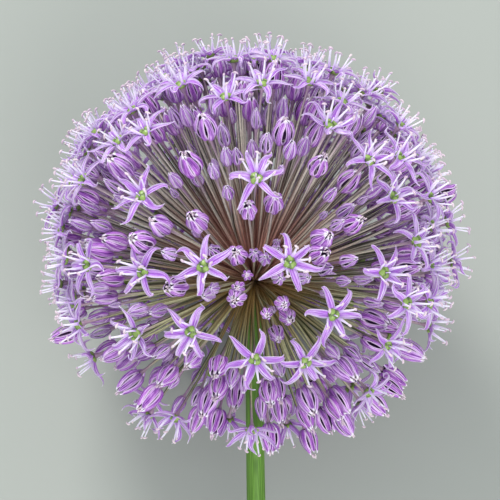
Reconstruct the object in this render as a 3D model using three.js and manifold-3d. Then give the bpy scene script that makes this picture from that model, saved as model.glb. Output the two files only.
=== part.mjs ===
// An allium flower head, cut with its scape and laid on its side on a flat surface. About two hundred
// and seventy stalks (pedicels) spread from one core and end in open florets, in half-open florets
// shaped like lanterns, and in closed buds. Together they make a ball, which is pressed a little flat
// where it lies. Millimetres, +Z up, head towards +Y, cut end of the scape towards -Y.
import * as THREE from 'three';
import { mergeVertices } from 'three/addons/utils/BufferGeometryUtils.js';
import Module from 'manifold-3d';

// ---------------------------------------------------------------------------------------------------
// Driving dimensions
// ---------------------------------------------------------------------------------------------------
const HUB_HEIGHT = 73;            // the point where the stalks meet, above the surface
const SCAPE_LENGTH = 215;         // from that point to the cut end
const SCAPE_RADIUS_TOP = 3.4;
const SCAPE_RADIUS_CUT = 4.2;
const SCAPE_LEAN = 5;             // how far the cut end lies to the right of a straight line
const SCAPE_SIDES = 16;
const SCAPE_STEPS = 8;
const BALL_RADIUS = 75;           // the ball on which the florets' ovaries lie
const BALL_CENTRE = [-0.8, 13, 0]; // in head axes, from the hub
const CORE_RADIUS = 9;            // the swollen end of the scape that the stalks grow from
const CORE_SEAT = 8.2;            // from the hub to the core's flat underside
const CORE_SIDES = 10;
const CORE_STEPS = 5;
const SEAT_GAP = 0.3;             // between the scape's end and the core

const STALK_RADIUS_TOP = 0.8;     // three-sided, so this is the corner radius
const STALK_RADIUS_ROOT = 0.42;
const STALK_NECK = 0.4;           // from the stalk's upper end to the base of a lantern or bud
const STALK_ROOT = 7.4;           // the roots end this far from the hub, inside the core
const LOWER_ROOT_LIFT = 30;       // degrees by which the lowest roots are raised, clear of the scape

const TEPAL_LENGTH = 12.4;
const TEPAL_HALF_WIDTH = 1.3;
const TEPAL_THICKNESS = 0.75;
const OVARY_RADIUS = 2.0;
const OVARY_HEIGHT = 1.9;
const BASE_RADIUS = 1.15;         // of the floret's base, where its stalk widens into it
const STAMEN_LENGTH = 9.6;
const STAMEN_SPREAD = 38;         // degrees from the floret's axis
const LOWEST_TIP = -1.2;          // of a tepal, above the floret's base
const HIGHEST_TIP = 2.2;
const LANTERN_RADIUS = 4.1;
const LANTERN_RADIUS_BETWEEN = 3.5;
const LANTERN_BELLY = 4;          // from its base to where it is widest
const LANTERN_SHOULDER = 8.8;
const LANTERN_SHOULDER_RADIUS = 2.7;
const LANTERN_LENGTH = 11;
const BUD_RADIUS = 2.3;
const BUD_BELLY = 2.9;
const BUD_LENGTH = 6.8;

// The photograph's frame: its middle, where the hub is seen, the scale at the hub and how far the lens
// is from the hub's plane.
const FRAME_MIDDLE = 250;
const HUB_PIXEL = [254, 280];
const MM_PER_PIXEL = 0.391;
const LENS_DISTANCE = 700;
const DEPTH_PASSES = 6;           // a place's depth and its scale are worked out in turns

// The blooms on the side that the photograph shows, each by the pixel of its centre. An open floret
// also has the directions of its tepals where they can be read, in degrees from the picture's right,
// or else a roll. Those beyond the rim's plane are marked as behind it.
const OPEN_FLORETS = [
  { pixel: [204, 267], tepals: [27, 84, 135, 203, 265, 336] },
  { pixel: [289, 263], tepals: [39, 96, 148, 207, 288, 344] },
  { pixel: [256, 180], tepals: [11, 64, 110, 176, 239, 307] },
  { pixel: [143, 198], tepals: [29, 73, 133, 204, 252, 324] },
  { pixel: [144, 272], tepals: [352, 62, 113, 172, 233, 294] },
  { pixel: [192, 331], tepals: [350, 71, 133, 188, 242, 295] },
  { pixel: [255, 358], tepals: [4, 68, 139, 190, 251, 311] },
  { pixel: [304, 361], tepals: [0, 59, 117, 174, 228, 303] },
  { pixel: [332, 314], tepals: [0, 53, 112, 174, 242, 291] },
  { pixel: [382, 273], tepals: [12, 58, 112, 178, 252, 316] },
  { pixel: [385, 344], tepals: [18, 60, 145, 218, 272, 320] },
  { pixel: [367, 390], roll: 20 }, { pixel: [137, 334], roll: 38 }, { pixel: [90, 265], roll: 56 },
  { pixel: [391, 198], roll: 40 }, { pixel: [398, 159], roll: 5 }, { pixel: [368, 162], roll: 28 },
  { pixel: [329, 127], roll: 12 }, { pixel: [341, 104], roll: 44 }, { pixel: [369, 107], roll: 0 },
  { pixel: [273, 62], roll: 33 }, { pixel: [262, 86], roll: 50 }, { pixel: [226, 99], roll: 10 },
  { pixel: [182, 87], roll: 24 }, { pixel: [147, 134], roll: 47 }, { pixel: [134, 112], roll: 15 },
  { pixel: [120, 143], roll: 52 }, { pixel: [88, 144], roll: 36 }, { pixel: [85, 181], roll: 8 },
  { pixel: [59, 206], roll: 30 }, { pixel: [414, 242], roll: 55 }, { pixel: [428, 266], roll: 18 },
  { pixel: [428, 198], roll: 42 }, { pixel: [425, 174], roll: 3 }, { pixel: [404, 303], roll: 26 },
  { pixel: [429, 326], roll: 49 }, { pixel: [81, 324], roll: 14 }, { pixel: [95, 356], roll: 40 },
  { pixel: [150, 413], roll: 22 }, { pixel: [176, 416], roll: 50 }, { pixel: [252, 428], roll: 30 },
  { pixel: [309, 84], roll: 9 }, { pixel: [450, 263], roll: 35 }, { pixel: [445, 223], roll: 0 },
  { pixel: [399, 127], roll: 20 }, { pixel: [333, 74], roll: 45 },
  { pixel: [376, 93], roll: 11, behind: true }, { pixel: [180, 72], roll: 37, behind: true },
  { pixel: [308, 73], roll: 29, behind: true }, { pixel: [69, 242], roll: 51, behind: true },
];
const LANTERNS = [
  [217, 65], [206, 127], [283, 132], [190, 165], [319, 165], [349, 181], [408, 140], [354, 223], [322, 239],
  [320, 254], [197, 221], [160, 225], [142, 242], [121, 168], [86, 197], [248, 209], [274, 202], [237, 255],
  [247, 275], [176, 287], [236, 298], [283, 304], [288, 317], [267, 315], [277, 335], [104, 297], [218, 367],
  [218, 388], [192, 360], [167, 376], [130, 382], [197, 419], [216, 422], [207, 403], [269, 394], [279, 411],
  [270, 437], [307, 400], [307, 416], [309, 441], [335, 409], [343, 422], [345, 369], [374, 320], [391, 387],
  [375, 404], [409, 351], [150, 398],
];
const BUDS = [
  [187, 118], [224, 138], [237, 157], [252, 150], [256, 120], [268, 117], [290, 152], [303, 148], [214, 172],
  [228, 193], [176, 181], [330, 195], [344, 212], [337, 225], [347, 261], [343, 281], [362, 279], [324, 269],
  [304, 278], [276, 251], [255, 255], [214, 251], [214, 288], [209, 294], [140, 310], [160, 310], [163, 351],
  [233, 376], [244, 383], [279, 366], [332, 351], [351, 353], [367, 363], [329, 365], [372, 302], [83, 225],
  [103, 226], [116, 188], [170, 254],
];

// The rest of the ball is filled by a rule: places on a spiral, kept where there is room.
const SPIRAL_PLACES = 272;
const FRONT_LIMIT = 6;            // the lists above have what lies nearer the lens than this
const SCAPE_CLEARANCE = 16;       // no bloom is this near the scape's line
const ROOM_BETWEEN_OPEN = 19;
const OPEN_SHARE = 0.75;          // of the places with that much room
const BUD_SHARE = 0.5;            // of the others
const ROOM_BETWEEN_STALKS = 5.6;  // degrees
const NEIGHBOUR_DISTANCE = 30;    // blooms further apart than this can't touch
const REACHES = {                 // how far a kind sits from the ball, tried in turn until one is free
  open: [0, 3, -3, 6, -6],
  lantern: [-4, -8, 0, -12, -16],
  bud: [-9, -14, -5, -19, -24, 0],
};
// The balls that stand for a bloom while its place is chosen: their radii, and how far out along its
// axis they lie. Those of a tepal or a stamen also lie to the side, the stamen's between two tepals.
const LANTERN_BALL = { out: 5.5, radius: 4.6 };
const BUD_BALL = { out: 3, radius: 2.9 };
const OVARY_BALL = { out: 1, radius: 2.6 };
const PETAL_BALLS = [
  { out: 0.5, radius: 1.7, side: 6, turn: 0 },
  { out: 0.5, radius: 1.5, side: 10.5, turn: 0 },
  { out: 6.5, radius: 0.7, side: 5, turn: 30 },
];
const TURN_SCATTER = 0.12;        // radians along the spiral
const SEED = 20117;
const MERGE_DISTANCE = 0.01;      // corners that the joining leaves closer than this become one

const DEGREE = Math.PI / 180;
const GOLDEN_TURN = Math.PI * (3 - Math.sqrt(5));

// ---------------------------------------------------------------------------------------------------
// Head axes: u to the right, v along the scape towards the head, w towards the lens
// ---------------------------------------------------------------------------------------------------
// Tilted so that the lower edge of the cut end just meets the surface.
const tilt = Math.asin(HUB_HEIGHT / Math.hypot(SCAPE_LENGTH, SCAPE_RADIUS_CUT))
  - Math.atan2(SCAPE_RADIUS_CUT, SCAPE_LENGTH);
const headAxes = new THREE.Matrix4().makeBasis(
  new THREE.Vector3(1, 0, 0),
  new THREE.Vector3(0, Math.cos(tilt), Math.sin(tilt)),
  new THREE.Vector3(0, -Math.sin(tilt), Math.cos(tilt)),
).setPosition(0, 0, HUB_HEIGHT);
const ballCentre = new THREE.Vector3(...BALL_CENTRE);

// A repeatable stream of numbers from 0 to 1.
function numberStream(seed) {
  let state = seed;
  return () => {
    state = (state * 1664525 + 1013904223) % 4294967296;
    return state / 4294967296;
  };
}

// The place, in head axes, of a bloom seen at a pixel, on the ball of the given radius, and clear of
// the scape.
function placeAtPixel([x, y], radius, behind) {
  const lensAcross = (FRAME_MIDDLE - HUB_PIXEL[0]) * MM_PER_PIXEL;
  const lensAlong = (HUB_PIXEL[1] - FRAME_MIDDLE) * MM_PER_PIXEL;
  let depth = radius;
  const place = new THREE.Vector3();
  for (let pass = 0; pass < DEPTH_PASSES; pass += 1) {
    const scale = MM_PER_PIXEL * (LENS_DISTANCE - depth) / LENS_DISTANCE;
    place.set(lensAcross + (x - FRAME_MIDDLE) * scale, lensAlong + (FRAME_MIDDLE - y) * scale, 0);
    const across = Math.hypot(place.x - ballCentre.x, place.y - ballCentre.y);
    const ahead = place.y < 0 ? SCAPE_CLEARANCE ** 2 - place.x ** 2 : 0;
    depth = Math.sqrt(Math.max(0, radius ** 2 - across ** 2, ahead)) * (behind ? -1 : 1);
  }
  return place.setZ(depth);
}

// The axes of a bloom, in head axes: out along its stalk, with `right` as near the picture's right as
// can be.
function bloomAxes(place) {
  const outward = place.clone().normalize();
  const level = Math.abs(outward.x) < 0.95 ? new THREE.Vector3(1, 0, 0) : new THREE.Vector3(0, 1, 0);
  const right = level.addScaledVector(outward, -level.dot(outward)).normalize();
  return { outward, right, up: new THREE.Vector3().crossVectors(outward, right) };
}

// The angle round a bloom's axis at which a tepal is seen in the given direction of the picture.
function angleSeenAt(degrees, { outward, right, up }) {
  const seen = new THREE.Vector3(Math.cos(degrees * DEGREE), Math.sin(degrees * DEGREE), 0);
  seen.z = -seen.dot(outward) / outward.z;
  return Math.atan2(seen.dot(up), seen.dot(right));
}

const evenAngles = (count, start) => Array.from(
  { length: count }, (_, index) => start + index * 2 * Math.PI / count,
);

function tepalAngles(bloom, axes) {
  if (!bloom.tepals) return evenAngles(6, bloom.roll * DEGREE);
  return bloom.tepals.map((degrees) => angleSeenAt(degrees, axes)).sort((first, second) => first - second);
}

// ---------------------------------------------------------------------------------------------------
// Where every bloom is: the listed ones, then the spiral's
// ---------------------------------------------------------------------------------------------------
function roomTakenBy(bloom) {
  const axes = bloomAxes(bloom.place);
  const ball = ({ out, radius, side = 0, turn = 0 }, angle = 0) => {
    const at = angle + turn * DEGREE;
    const centre = bloom.place.clone().addScaledVector(axes.right, side * Math.cos(at))
      .addScaledVector(axes.up, side * Math.sin(at)).addScaledVector(axes.outward, out);
    return { centre, radius };
  };
  if (bloom.kind === 'lantern') return [ball(LANTERN_BALL)];
  if (bloom.kind === 'bud') return [ball(BUD_BALL)];
  const petals = tepalAngles(bloom, axes).flatMap((angle) => PETAL_BALLS.map((petal) => ball(petal, angle)));
  return [ball(OVARY_BALL), ...petals];
}

function isFree(bloom, blooms) {
  const mine = roomTakenBy(bloom);
  return blooms.every((other) => {
    if (other.place.distanceTo(bloom.place) > NEIGHBOUR_DISTANCE) return true;
    if (other.place.angleTo(bloom.place) < ROOM_BETWEEN_STALKS * DEGREE) return false;
    return other.room.every((ball) => mine.every(
      ({ centre, radius }) => ball.centre.distanceTo(centre) > ball.radius + radius,
    ));
  });
}

// Puts a bloom at the first reach that is free. With none free, it gets the first if it must be there.
function settle(bloom, blooms, placeAt, mustBeThere) {
  const [usual, ...others] = REACHES[bloom.kind].map((reach) => placeAt(BALL_RADIUS + reach));
  const free = [usual, ...others].find((place) => isFree({ ...bloom, place }, blooms));
  if (!free && !mustBeThere) return false;
  const settled = { ...bloom, place: free ?? usual };
  blooms.push({ ...settled, room: roomTakenBy(settled) });
  return true;
}

function listedBlooms(draw) {
  const blooms = [];
  const settleAtPixel = (bloom, pixel, behind) => {
    settle(bloom, blooms, (radius) => placeAtPixel(pixel, radius, behind), true);
  };
  for (const { pixel, behind, ...look } of OPEN_FLORETS) {
    settleAtPixel({ kind: 'open', ...look }, pixel, behind);
  }
  for (const pixel of LANTERNS) settleAtPixel({ kind: 'lantern', roll: 60 * draw() }, pixel, false);
  for (const pixel of BUDS) settleAtPixel({ kind: 'bud', roll: 60 * draw() }, pixel, false);
  return blooms;
}

function addSpiralBlooms(blooms, draw) {
  for (let step = 0; step < SPIRAL_PLACES; step += 1) {
    const height = 1 - 2 * (step + 0.5) / SPIRAL_PLACES;
    const turn = step * GOLDEN_TURN + TURN_SCATTER * (draw() - 0.5);
    const ring = Math.sqrt(1 - height ** 2);
    const outward = new THREE.Vector3(ring * Math.cos(turn), height, ring * Math.sin(turn));
    const roll = 60 * draw();
    const [first, second] = [draw(), draw()];
    const placeAt = (radius) => outward.clone().multiplyScalar(radius).add(ballCentre);
    const place = placeAt(BALL_RADIUS);
    const nearScape = place.y < 0 && Math.hypot(place.x, place.z) < SCAPE_CLEARANCE;
    if (place.z > FRONT_LIMIT || nearScape) continue;
    const roomy = blooms.every(
      (bloom) => bloom.kind !== 'open' || bloom.place.distanceTo(place) > ROOM_BETWEEN_OPEN,
    );
    const kinds = roomy && first < OPEN_SHARE ? ['open'] : [];
    kinds.push(...(second < BUD_SHARE ? ['bud'] : ['lantern', 'bud']));
    kinds.some((kind) => settle({ kind, roll }, blooms, placeAt, false));
  }
}

// ---------------------------------------------------------------------------------------------------
// Blooms, each one closed solid with its stalk, in world millimetres
// ---------------------------------------------------------------------------------------------------
// Where a bloom's stalk starts inside the core. The lower ones start further up than straight below
// their bloom, because the scape takes up the core's underside.
function rootOf(place) {
  const fromScape = Math.acos(-place.y / place.length());
  const raised = fromScape + LOWER_ROOT_LIFT * DEGREE * Math.max(0, 1 - 2 * fromScape / Math.PI);
  const round = Math.atan2(place.z, place.x);
  const across = Math.sin(raised);
  return new THREE.Vector3(across * Math.cos(round), -Math.cos(raised), across * Math.sin(round))
    .multiplyScalar(STALK_ROOT);
}

// Collects the corners and triangles of one closed solid.
class SolidMaker {
  constructor(origin, axes, root) {
    this.origin = origin;
    this.axes = axes;
    this.root = root;
    this.corners = [];
    this.triangles = [];
  }

  point(right, up, outward) {
    const { axes } = this;
    return this.worldPoint(this.origin.clone().addScaledVector(axes.right, right)
      .addScaledVector(axes.up, up).addScaledVector(axes.outward, outward));
  }

  worldPoint(place) {
    this.corners.push(place.x, place.y, place.z);
    return this.corners.length / 3 - 1;
  }

  // A ring of corners, one at each angle. Every other one may have a radius of its own.
  ring(radius, angles, outward, otherRadius = radius) {
    return angles.map((angle, index) => {
      const reach = index % 2 ? otherRadius : radius;
      return this.point(reach * Math.cos(angle), reach * Math.sin(angle), outward);
    });
  }

  face(...corners) {
    this.triangles.push(...corners);
  }

  // Widens a ring of n corners to the ring of 2n corners above it.
  flare(inner, outer) {
    inner.forEach((corner, index) => {
      const next = inner[(index + 1) % inner.length];
      const middle = outer[2 * index + 1];
      this.face(corner, middle, outer[2 * index]);
      this.face(corner, next, middle);
      this.face(next, outer[(2 * index + 2) % outer.length], middle);
    });
  }

  // Narrows a ring of 2n corners to the ring of n corners above it.
  gather(outer, inner) {
    inner.forEach((corner, index) => {
      const next = inner[(index + 1) % inner.length];
      const middle = outer[2 * index + 1];
      this.face(corner, outer[2 * index], middle);
      this.face(corner, middle, next);
      this.face(next, middle, outer[(2 * index + 2) % outer.length]);
    });
  }

  // Joins two rings of as many corners, the lower one first.
  sleeve(lower, upper) {
    lower.forEach((corner, index) => {
      const next = (index + 1) % lower.length;
      this.face(upper[index], corner, lower[next]);
      this.face(upper[index], lower[next], upper[next]);
    });
  }

  fan(ring, apex) {
    ring.forEach((corner, index) => this.face(apex, corner, ring[(index + 1) % ring.length]));
  }

  // The stalk: from a ring of three under the bloom to a ring of three inside the core.
  stalk(top, angles) {
    const { axes, root } = this;
    const bottom = angles.map((angle) => this.worldPoint(root.clone()
      .addScaledVector(axes.right, STALK_RADIUS_ROOT * Math.cos(angle))
      .addScaledVector(axes.up, STALK_RADIUS_ROOT * Math.sin(angle))));
    this.sleeve(bottom, top);
    this.face(bottom[0], bottom[2], bottom[1]);
  }

  lowest() {
    return Math.min(...this.corners.filter((_, index) => index % 3 === 2));
  }
}

// An open floret: six narrow tepals, each one ridge with a flat back, round an ovary. Three of its
// six stamens stand out between them.
function openFloret(maker, bloom) {
  const valleys = bloom.tepalAngles.map((angle, index) => {
    const before = index ? bloom.tepalAngles[index - 1] : bloom.tepalAngles[5] - 2 * Math.PI;
    return (angle + before) / 2;
  });
  const valleyRing = maker.ring(BASE_RADIUS, valleys, 0);
  const ridgeRing = maker.ring(OVARY_RADIUS, bloom.tepalAngles, OVARY_HEIGHT);
  const spread = STAMEN_LENGTH * Math.sin(STAMEN_SPREAD * DEGREE);
  bloom.tepalAngles.forEach((angle, index) => {
    const tipHeight = bloom.tipHeights[index];
    const at = (along, across, height) => maker.point(
      along * Math.cos(angle) - across * Math.sin(angle),
      along * Math.sin(angle) + across * Math.cos(angle), height);
    const middle = TEPAL_LENGTH / 2;
    const middleHeight = (OVARY_HEIGHT + tipHeight) / 2 - TEPAL_THICKNESS;
    const left = at(middle, -TEPAL_HALF_WIDTH, middleHeight);
    const right = at(middle, TEPAL_HALF_WIDTH, middleHeight);
    const tip = at(TEPAL_LENGTH, 0, tipHeight);
    const next = (index + 1) % 6;
    const [before, ridge, after] = [valleyRing[index], ridgeRing[index], valleyRing[next]];
    maker.face(ridge, before, left);
    maker.face(ridge, left, tip);
    maker.face(ridge, tip, right);
    maker.face(ridge, right, after);
    maker.face(before, after, right);
    maker.face(before, right, left);
    maker.face(left, right, tip);
    if (index % 2) {
      maker.face(ridge, after, ridgeRing[next]);
    } else {
      const stamen = maker.point(spread * Math.cos(valleys[next]), spread * Math.sin(valleys[next]),
        STAMEN_LENGTH * Math.cos(STAMEN_SPREAD * DEGREE));
      maker.face(ridge, after, stamen);
      maker.face(after, ridgeRing[next], stamen);
      maker.face(ridgeRing[next], ridge, stamen);
    }
  });
  for (const index of [1, 2, 3, 4]) maker.face(ridgeRing[0], ridgeRing[index], ridgeRing[index + 1]);
  for (const index of [0, 2, 4]) {
    maker.face(valleyRing[index], valleyRing[(index + 2) % 6], valleyRing[index + 1]);
  }
  const everyOther = (list) => [list[0], list[2], list[4]];
  maker.stalk(everyOther(valleyRing), everyOther(valleys));
}

// A half-open floret: the tepals still closed into a lantern, three of them in ridges.
function lantern(maker, bloom) {
  const start = bloom.roll * DEGREE;
  const six = evenAngles(6, start);
  const three = evenAngles(3, start);
  const stalkRing = maker.ring(STALK_RADIUS_TOP, three, -STALK_NECK);
  const belly = maker.ring(LANTERN_RADIUS, six, LANTERN_BELLY, LANTERN_RADIUS_BETWEEN);
  const shoulder = maker.ring(LANTERN_SHOULDER_RADIUS, three, LANTERN_SHOULDER);
  maker.flare(stalkRing, belly);
  maker.gather(belly, shoulder);
  maker.fan(shoulder, maker.point(0, 0, LANTERN_LENGTH));
  maker.stalk(stalkRing, three);
}

// A closed bud, slim and pointed.
function bud(maker, bloom) {
  const three = evenAngles(3, bloom.roll * DEGREE);
  const stalkRing = maker.ring(STALK_RADIUS_TOP, three, -STALK_NECK);
  const belly = maker.ring(BUD_RADIUS, three, BUD_BELLY);
  maker.sleeve(stalkRing, belly);
  maker.fan(belly, maker.point(0, 0, BUD_LENGTH));
  maker.stalk(stalkRing, three);
}

const SHAPES = { open: openFloret, lantern, bud };

// Makes one bloom. Where it would reach below the surface it is lifted on to it, and its stalk follows.
function makeBloom(bloom) {
  const inHead = bloomAxes(bloom.place);
  bloom.tepalAngles = tepalAngles(bloom, inHead);
  const axes = {};
  for (const [name, axis] of Object.entries(inHead)) axes[name] = axis.transformDirection(headAxes);
  const root = rootOf(bloom.place).applyMatrix4(headAxes);
  const origin = bloom.place.clone().applyMatrix4(headAxes);
  let maker = new SolidMaker(origin, axes, root);
  SHAPES[bloom.kind](maker, bloom);
  if (maker.lowest() < 0) {
    maker = new SolidMaker(origin.setZ(origin.z - maker.lowest()), axes, root);
    SHAPES[bloom.kind](maker, bloom);
  }
  return maker;
}

// ---------------------------------------------------------------------------------------------------
// The two pieces
// ---------------------------------------------------------------------------------------------------
const wasm = await Module();
wasm.setup();

function solidOf(vertProperties, triVerts) {
  return new wasm.Manifold(new wasm.Mesh({
    numProp: 3,
    vertProperties: Float32Array.from(vertProperties),
    triVerts: Uint32Array.from(triVerts),
  }));
}

// A solid of revolution round the scape's axis, from a profile of radii and places along that axis.
function turned(profile, sides) {
  const points = profile.map(([radius, along]) => new THREE.Vector2(radius, along));
  const geometry = new THREE.LatheGeometry(points, sides);
  geometry.deleteAttribute('normal');
  geometry.deleteAttribute('uv');
  return mergeVertices(geometry);
}

// The core: a ball with a flat seat for the scape.
function coreSolid() {
  const profile = [[0, -CORE_SEAT]];
  const seatAngle = Math.asin(-CORE_SEAT / CORE_RADIUS);
  for (let step = 0; step < CORE_STEPS; step += 1) {
    const angle = seatAngle + (Math.PI / 2 - seatAngle) * step / CORE_STEPS;
    profile.push([CORE_RADIUS * Math.cos(angle), CORE_RADIUS * Math.sin(angle)]);
  }
  profile.push([0, CORE_RADIUS]);
  const geometry = turned(profile, CORE_SIDES).applyMatrix4(headAxes);
  return solidOf(geometry.attributes.position.array, geometry.index.array);
}

// Joins a list of solids two by two until one is left.
function joined(solids) {
  let list = solids;
  while (list.length > 1) {
    const next = [];
    for (let index = 0; index < list.length; index += 2) {
      next.push(index + 1 < list.length ? list[index].add(list[index + 1]) : list[index]);
    }
    list = next;
  }
  return list[0];
}

function umbelGeometry() {
  const draw = numberStream(SEED);
  const blooms = listedBlooms(draw);
  addSpiralBlooms(blooms, draw);
  const tipHeight = () => LOWEST_TIP + (HIGHEST_TIP - LOWEST_TIP) * draw();
  for (const bloom of blooms) bloom.tipHeights = Array.from({ length: 6 }, tipHeight);
  const solids = blooms.map((bloom) => {
    const { corners, triangles } = makeBloom(bloom);
    return solidOf(corners, triangles);
  });
  const mesh = joined([coreSolid(), ...solids]).asOriginal().simplify(MERGE_DISTANCE).getMesh();
  const geometry = new THREE.BufferGeometry();
  geometry.setAttribute('position', new THREE.BufferAttribute(mesh.vertProperties, 3));
  geometry.setIndex(new THREE.BufferAttribute(mesh.triVerts, 1));
  return geometry;
}

// The scape: round, a little thicker towards its cut end and leaning slightly to one side.
function scapeGeometry() {
  const start = -SCAPE_LENGTH;
  const end = -CORE_SEAT - SEAT_GAP;
  const profile = [[0, start]];
  for (let step = 0; step <= SCAPE_STEPS; step += 1) {
    const along = start + (end - start) * step / SCAPE_STEPS;
    const share = step / SCAPE_STEPS;
    profile.push([SCAPE_RADIUS_CUT + (SCAPE_RADIUS_TOP - SCAPE_RADIUS_CUT) * share, along]);
  }
  profile.push([0, end]);
  const geometry = turned(profile, SCAPE_SIDES);
  const places = geometry.attributes.position;
  for (let index = 0; index < places.count; index += 1) {
    const lean = SCAPE_LEAN * (places.getY(index) / SCAPE_LENGTH) ** 2;
    places.setX(index, places.getX(index) + lean);
  }
  return geometry.applyMatrix4(headAxes);
}

function piece(name, geometry, color, roughness) {
  geometry.computeVertexNormals();
  const mesh = new THREE.Mesh(geometry, new THREE.MeshStandardMaterial({ color, roughness, metalness: 0 }));
  mesh.name = name;
  return mesh;
}

// The whole part, moved so that the middle of its box's underside is the origin.
const group = new THREE.Group();
group.add(
  piece('scape', scapeGeometry(), 0x8fa86a, 0.45),
  piece('umbel', umbelGeometry(), 0xb48ad6, 0.62),
);
const box = new THREE.Box3().setFromObject(group, true);
const middle = box.getCenter(new THREE.Vector3());
group.position.set(-middle.x, -middle.y, -box.min.z);

export default group;
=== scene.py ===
import collections
import math

import bpy
import numpy as np
from mathutils import Matrix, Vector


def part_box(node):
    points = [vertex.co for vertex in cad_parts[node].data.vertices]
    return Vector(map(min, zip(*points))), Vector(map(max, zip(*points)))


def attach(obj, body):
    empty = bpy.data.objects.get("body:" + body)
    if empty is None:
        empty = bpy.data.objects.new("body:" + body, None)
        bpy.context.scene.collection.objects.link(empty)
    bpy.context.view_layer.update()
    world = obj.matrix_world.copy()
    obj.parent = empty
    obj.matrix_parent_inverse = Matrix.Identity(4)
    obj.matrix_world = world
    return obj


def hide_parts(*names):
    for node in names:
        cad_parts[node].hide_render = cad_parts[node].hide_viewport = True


# An allium flower head, cut with its scape and laid on its side on a pale floor. The lens looks down on it,
# square to the scape. Everything here is worked out in millimetres and made in metres.

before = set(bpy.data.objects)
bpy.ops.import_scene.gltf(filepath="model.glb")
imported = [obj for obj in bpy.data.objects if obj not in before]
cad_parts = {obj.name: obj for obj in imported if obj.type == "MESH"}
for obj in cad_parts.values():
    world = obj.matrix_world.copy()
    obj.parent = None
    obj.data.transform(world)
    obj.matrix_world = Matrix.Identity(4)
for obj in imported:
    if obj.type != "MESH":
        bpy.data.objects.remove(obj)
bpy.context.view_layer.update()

MM = 0.001

# --- Driving dimensions, in millimetres, as in the solids that these pieces replace
HUB_HEIGHT = 73  # the point where the stalks meet, above the surface
SCAPE_LENGTH = 215  # from that point to the cut end
SCAPE_RADIUS_TOP = 3.4
SCAPE_RADIUS_CUT = 4.2
SCAPE_LEAN = 5  # how far the cut end lies to the right of a straight line
SCAPE_SOLID_END = 8.5  # the solid's upper end, below the hub
BALL_RADIUS = 75  # the ball on which the florets' ovaries lie
BALL_CENTRE = np.array([-0.8, 13, 0])
LOWER_ROOT_LIFT = 30  # degrees by which the lowest roots are raised, clear of the scape

# The photograph's frame: its middle, where the hub is seen, the scale at the hub and how far the lens
# is from the hub's plane.
FRAME_MIDDLE = 250
HUB_PIXEL = (254, 280)
MM_PER_PIXEL = 0.391
LENS_DISTANCE = 700
LENS_ACROSS = (FRAME_MIDDLE - HUB_PIXEL[0]) * MM_PER_PIXEL
LENS_ALONG = (HUB_PIXEL[1] - FRAME_MIDDLE) * MM_PER_PIXEL
DEPTH_PASSES = 6  # how often the depth under a pixel is worked out anew

# The blooms that the photograph shows, by the pixel of their centre. Open florets also have the
# directions of their tepals, in degrees from the picture's right, or else a roll.
OPEN_WITH_DIRECTIONS = {
    (204, 267): (27, 84, 135, 203, 265, 336),
    (289, 263): (39, 96, 148, 207, 288, 344),
    (256, 180): (11, 64, 110, 176, 239, 307),
    (143, 198): (29, 73, 133, 204, 252, 324),
    (144, 272): (352, 62, 113, 172, 233, 294),
    (192, 331): (350, 71, 133, 188, 242, 295),
    (255, 358): (4, 68, 139, 190, 251, 311),
    (304, 361): (0, 59, 117, 174, 228, 303),
    (332, 314): (0, 53, 112, 174, 242, 291),
    (382, 273): (12, 58, 112, 178, 252, 316),
    (385, 344): (18, 60, 145, 218, 272, 320),
}
OPEN_WITH_ROLL = [
    (367, 390, 20), (137, 334, 38), (90, 265, 56), (391, 198, 40), (398, 159, 5), (368, 162, 28),
    (329, 127, 12), (341, 104, 44), (369, 107, 0), (273, 62, 33), (262, 86, 50), (226, 99, 10),
    (182, 87, 24), (147, 134, 47), (134, 112, 15), (120, 143, 52), (88, 144, 36), (85, 181, 8),
    (59, 206, 30), (414, 242, 55), (428, 266, 18), (428, 198, 42), (425, 174, 3), (404, 303, 26),
    (429, 326, 49), (81, 324, 14), (95, 356, 40), (150, 413, 22), (176, 416, 50), (252, 428, 30),
    (309, 84, 9), (450, 263, 35), (445, 223, 0), (399, 127, 20), (333, 74, 45),
]
OPEN_BEHIND = [(376, 93, 11), (180, 72, 37), (308, 73, 29), (69, 242, 51)]
LANTERNS = [
    (217, 65), (206, 127), (283, 132), (190, 165), (319, 165), (349, 181), (408, 140), (354, 223),
    (322, 239), (320, 254), (197, 221), (160, 225), (142, 242), (121, 168), (86, 197), (248, 209),
    (274, 202), (237, 255), (247, 275), (176, 287), (236, 298), (283, 304), (288, 317), (267, 315),
    (277, 335), (104, 297), (218, 367), (218, 388), (192, 360), (167, 376), (130, 382), (197, 419),
    (216, 422), (207, 403), (269, 394), (279, 411), (270, 437), (307, 400), (307, 416), (309, 441),
    (335, 409), (343, 422), (345, 369), (374, 320), (391, 387), (375, 404), (409, 351), (150, 398),
]
BUDS = [
    (187, 118), (224, 138), (237, 157), (252, 150), (256, 120), (268, 117), (290, 152), (303, 148),
    (214, 172), (228, 193), (176, 181), (330, 195), (344, 212), (337, 225), (347, 261), (343, 281),
    (362, 279), (324, 269), (304, 278), (276, 251), (255, 255), (214, 251), (214, 288), (209, 294),
    (140, 310), (160, 310), (163, 351), (233, 376), (244, 383), (279, 366), (332, 351), (351, 353),
    (367, 363), (329, 365), (372, 302), (83, 225), (103, 226), (116, 188), (170, 254),
]
# How large some of the lanterns are, as a share of the others.
LANTERN_SIZES = {
    (267, 315): 0.52, (283, 304): 0.66, (247, 275): 0.6, (277, 335): 0.78, (236, 298): 1.04, (288, 317): 0.9,
    (237, 255): 0.97, (238, 288): 0.68,
}

# Blooms that are in the photograph and not in the solids.
MORE_OPEN = [(427, 303, 12), (98, 134, 40)]
MORE_BEHIND = [(211, 58, 25)]
MORE_LANTERNS = [(238, 288), (349, 369), (172, 122)]
MORE_BUDS = [
    (227, 158), (248, 112), (282, 110), (266, 145), (197, 179), (265, 259), (278, 278), (261, 406),
]

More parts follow.
